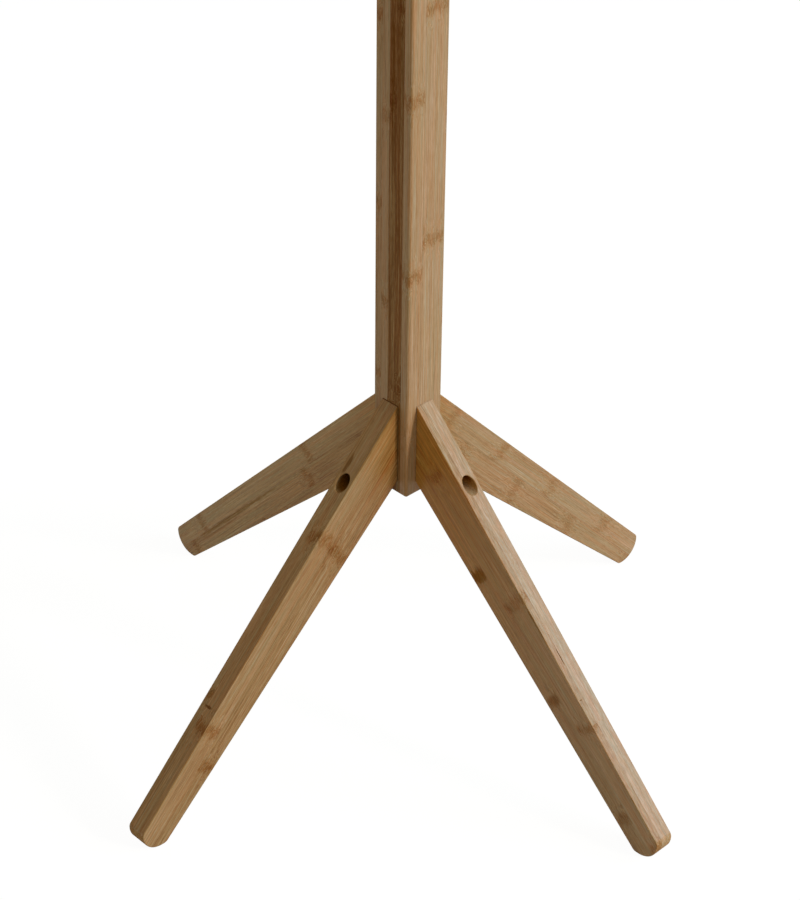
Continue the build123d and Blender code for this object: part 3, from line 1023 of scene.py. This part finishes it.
def fit(node, shape, sizes, places, finish):
    """Stands a set of fasteners in a node's place. places are (point, axis, top) and sizes are in mm."""
    points = bpy.data.meshes.new(node + "_places")
    points.from_pydata([point for point, _, _ in places], [], [])
    for attribute, column in (("axis", 1), ("top", 2)):
        values = points.attributes.new(attribute, "FLOAT_VECTOR", "POINT").data
        for value, place in zip(values, places):
            value.vector = place[column]
    piece = bpy.data.objects.new(node + "_fitted", points)
    bpy.context.scene.collection.objects.link(piece)

    tree = fastener_tree(node, shape, sizes)
    modifier = piece.modifiers.new("fasteners", "NODES")
    modifier.node_group = tree
    for socket in tree.interface.items_tree:
        if socket.name in sizes:
            modifier[socket.identifier] = sizes[socket.name] * MM
        elif socket.name == "Finish":
            modifier[socket.identifier] = finish
    mesh = bpy.data.meshes.new_from_object(piece.evaluated_get(bpy.context.evaluated_depsgraph_get()))
    piece.modifiers.remove(modifier)
    for attribute in ("axis", "top"):
        left = mesh.attributes.get(attribute)
        if left:
            mesh.attributes.remove(left)
    # The copies bring an empty slot along, which comes before their finish
    mesh.materials.pop(index=0)
    mesh.set_sharp_from_angle(angle=math.radians(SHARP_ANGLE))
    piece.data = mesh
    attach(piece, "root")
    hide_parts(node)


def metal(name):
    """Plated or blackened steel, or brass: cloudy, a little worn and finely scratched."""
    colour, worn, rough = METALS[name]
    material, net, shader = new_material(name)
    shader.inputs["Metallic"].default_value = 1.0
    here = net.add("ShaderNodeTexCoord")["Object"]
    cloud = net.pattern(here, *METAL_CLOUDS)
    scratch = net.pattern(here, *METAL_SCRATCHES)
    wear = net.product(net.fade(cloud, *METAL_CLOUD_FADE), net.fade(scratch, *METAL_SCRATCH_FADE))
    least_rough = rough - METAL_ROUGH_SWING / 2
    net.feed(shader.inputs["Base Color"], net.blend("MIX", wear, colour, worn))
    net.feed(shader.inputs["Roughness"], net.math("MULTIPLY_ADD", scratch, METAL_ROUGH_SWING, least_rough))
    net.emboss(shader, scratch, *METAL_RELIEF)
    return material


def beech():
    """Pale dowel wood with short brown flecks."""
    material, net, shader = new_material("beech_dowel")
    shader.inputs["Specular IOR Level"].default_value = BEECH_GLOSS
    here = net.add("ShaderNodeTexCoord")["Object"]
    cloud = net.pattern(here, *BEECH_CLOUDS)
    fleck = net.fade(net.pattern(here, *BEECH_FLECKS), *BEECH_FLECK_FADE)
    colour = net.blend("MIX", cloud, BEECH_DARK, BEECH_PALE)
    net.feed(shader.inputs["Base Color"], net.blend("MULTIPLY", fleck, colour, BEECH_FLECK))
    net.feed(shader.inputs["Roughness"], net.math("MULTIPLY_ADD", cloud, *BEECH_ROUGH_RULE))
    net.emboss(shader, cloud, *BEECH_RELIEF)
    return material


def fit_fastenings():
    """Bolts, washers, inserts and dowels of legs and arms, and the stud between the post's two lengths."""
    finishes = {
        "black_steel": metal("black_bolt"),
        "zinc_steel": metal("zinc_plate"),
        "brass": metal("brass_sleeve"),
        "beech": beech(),
    }

    def round_legs(height, reach):
        return [(way * (post_half + reach * MM) + UP * height, way, UP) for way in SIDES.values()]

    def round_arms(rise, reach):
        feet = [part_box(f"{tier}_arm_right")[0].z for tier in TIERS]
        return [place for foot in feet for place in round_legs(foot + rise * MM, reach)]

    leg_bolt = BOLT | {"Length": LEG_BOLT_SEAT + BOLT_DEPTH}
    arm_bolt = BOLT | {"Length": ARM_BOLT_SEAT + BOLT_DEPTH}
    leg_dowel = DOWEL | {"Length": LEG_DOWEL_REACH + DOWEL_DEPTH}
    arm_dowel = DOWEL | {"Length": ARM_DOWEL_REACH + DOWEL_DEPTH}
    leg_springs = round_legs(leg_bolt_height, LEG_SPRING_SEAT)
    side = SIDES["right"]
    sleeves = [(UP * post_corner.z + way * (INSERT_REACH * MM), way, side) for way in (UP, -UP)]
    rods = [(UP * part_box("post_stud")[1].z, UP, side)]
    for node, shape, sizes, places, slot in (
        ("leg_bolts", bolt_shape, leg_bolt, round_legs(leg_bolt_height, LEG_BOLT_SEAT), "black_steel"),
        ("arm_bolts", bolt_shape, arm_bolt, round_arms(ARM_BOLT_RISE, ARM_BOLT_SEAT), "black_steel"),
        ("leg_spring_washers", spring_washer_shape, SPRING_WASHER, leg_springs, "zinc_steel"),
        ("leg_washers", washer_shape, WASHER, round_legs(leg_bolt_height, LEG_WASHER_SEAT), "zinc_steel"),
        ("arm_washers", washer_shape, WASHER, round_arms(ARM_BOLT_RISE, ARM_WASHER_SEAT), "zinc_steel"),
        ("leg_inserts", insert_shape, LEG_INSERT, round_legs(leg_bolt_height, INSERT_REACH), "brass"),
        ("arm_inserts", insert_shape, LEG_INSERT, round_arms(ARM_BOLT_RISE, INSERT_REACH), "brass"),
        ("leg_dowels", dowel_shape, leg_dowel, round_legs(leg_dowel_height, LEG_DOWEL_REACH), "beech"),
        ("arm_dowels", dowel_shape, arm_dowel, round_arms(ARM_DOWEL_RISE, ARM_DOWEL_REACH), "beech"),
        ("post_stud_inserts", insert_shape, STUD_INSERT, sleeves, "brass"),
        ("post_stud", stud_shape, STUD, rods, "zinc_steel"),
    ):
        fit(node, shape, sizes, places, finishes[slot])


def seen_plainly(net):
    """1 for what is seen, straight, mirrored or refracted, and 0 for light that falls on the rack."""
    path = net.add("ShaderNodeLightPath")
    seen = net.math("MAXIMUM", path["Is Camera Ray"], path["Is Glossy Ray"])
    return net.math("MAXIMUM", seen, path["Is Transmission Ray"])


def make_floor():
    """A pale floor that reads as plain white and keeps a light shadow of the rack."""
    half = FLOOR_SIZE / 2
    corners = [(-half, -half, 0), (half, -half, 0), (half, half, 0), (-half, half, 0)]
    mesh = bpy.data.meshes.new("floor")
    mesh.from_pydata(corners, [], [(0, 1, 2, 3)])
    floor = bpy.data.objects.new("floor", mesh)
    bpy.context.scene.collection.objects.link(floor)
    material = bpy.data.materials.new("white_floor")
    material.use_nodes = True
    material.node_tree.nodes.clear()
    net = Net(material.node_tree)
    matt = net.add("ShaderNodeBsdfDiffuse", {"Color": FLOOR_COLOUR})[0]
    glow = net.add("ShaderNodeEmission", {"Strength": FLOOR_GLOW})[0]
    share = net.product(seen_plainly(net), 1 - FLOOR_SHADE)
    surface = net.add("ShaderNodeMixShader", [share, matt, glow])[0]
    net.add("ShaderNodeOutputMaterial", {"Surface": surface})
    mesh.materials.append(material)


def make_light():
    """A white studio, whose sky lights the rack less than it shows, with two lamps and a window."""
    world = bpy.data.worlds.new("studio")
    bpy.context.scene.world = world
    world.use_nodes = True
    net = Net(world.node_tree)
    background = world.node_tree.nodes["Background"]
    seen = seen_plainly(net)
    net.feed(background.inputs["Color"], net.blend("MIX", seen, SKY_COLOUR, WHITE))
    level = net.add("ShaderNodeMapRange", {"Value": seen, "To Min": SKY_LEVEL, "To Max": 1.0})[0]
    net.feed(background.inputs["Strength"], level)

    def hang(name, kind, place, strength, colour, glints=True):
        light = bpy.data.lights.new(name, kind)
        light.energy = strength
        light.color = colour
        placed = bpy.data.objects.new(name, light)
        placed.location = place
        placed.rotation_euler = place.to_track_quat("Z", "Y").to_euler()
        placed.visible_camera = False
        placed.visible_glossy = glints
        bpy.context.scene.collection.objects.link(placed)
        return light

    lamp = hang("lamp", "SUN", LAMP_FROM, LAMP_STRENGTH, LAMP_COLOUR)
    lamp.angle = math.radians(LAMP_SPREAD)
    fill = hang("fill", "SUN", FILL_FROM, FILL_STRENGTH, FILL_COLOUR, glints=False)
    fill.angle = math.radians(FILL_SPREAD)
    window = hang("window", "AREA", WINDOW_PLACE, WINDOW_STRENGTH, WINDOW_COLOUR)
    window.size = WINDOW_SIZE


def make_camera():
    """A camera that looks down on the legs from the front right."""
    data = bpy.data.cameras.new("camera")
    data.lens = CAMERA_LENS
    data.sensor_width = CAMERA_SENSOR
    camera = bpy.data.objects.new("camera", data)
    camera.location = CAMERA_PLACE
    look = (CAMERA_AIM - CAMERA_PLACE).to_track_quat("-Z", "Y").to_matrix()
    camera.rotation_euler = (look @ Matrix.Rotation(math.radians(CAMERA_ROLL), 3, "Z")).to_euler()
    bpy.context.scene.collection.objects.link(camera)
    bpy.context.scene.camera = camera


finish_wood()
fit_fastenings()
make_floor()
make_light()
make_camera()
bpy.context.scene.view_settings.view_transform = "Standard"
